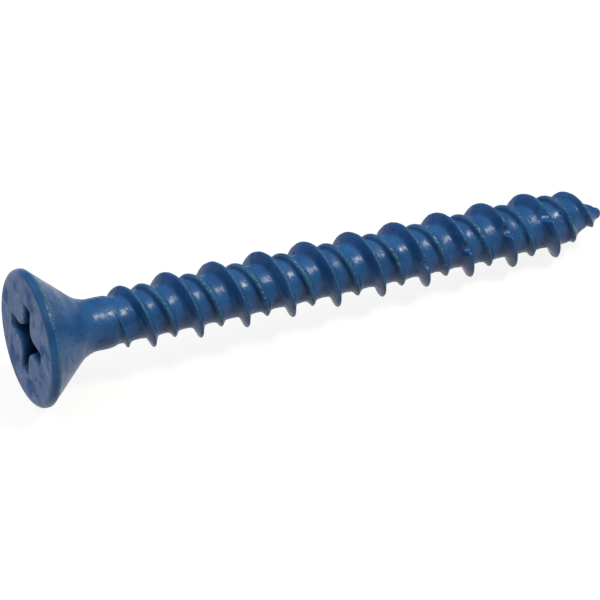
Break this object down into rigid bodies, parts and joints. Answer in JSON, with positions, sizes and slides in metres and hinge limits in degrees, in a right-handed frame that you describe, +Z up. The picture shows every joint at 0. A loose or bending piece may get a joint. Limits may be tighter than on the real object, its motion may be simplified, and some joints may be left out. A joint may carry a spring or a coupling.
{
  "type": "concrete screw",
  "caption": "Blue-coated countersunk concrete screw with a cross recess, a short plain shank and a tall, notched and a low thread that wind together to a blunt point.",
  "frame": {"origin": "middle of the screw's box, on the floor it lies on", "axes": "+X from the head to the tip, +Z up; the axis slopes down to the tip, because the rim of the head and the last full turn of the high thread rest on the floor"},
  "size_m": [0.0574, 0.0124, 0.0123],
  "materials": {
    "blue_coat": "satin blue coat over steel, lightly pitted"
  },
  "bodies": {
    "root": {"concrete_screw": "blue_coat"}
  },
  "joints": []
}
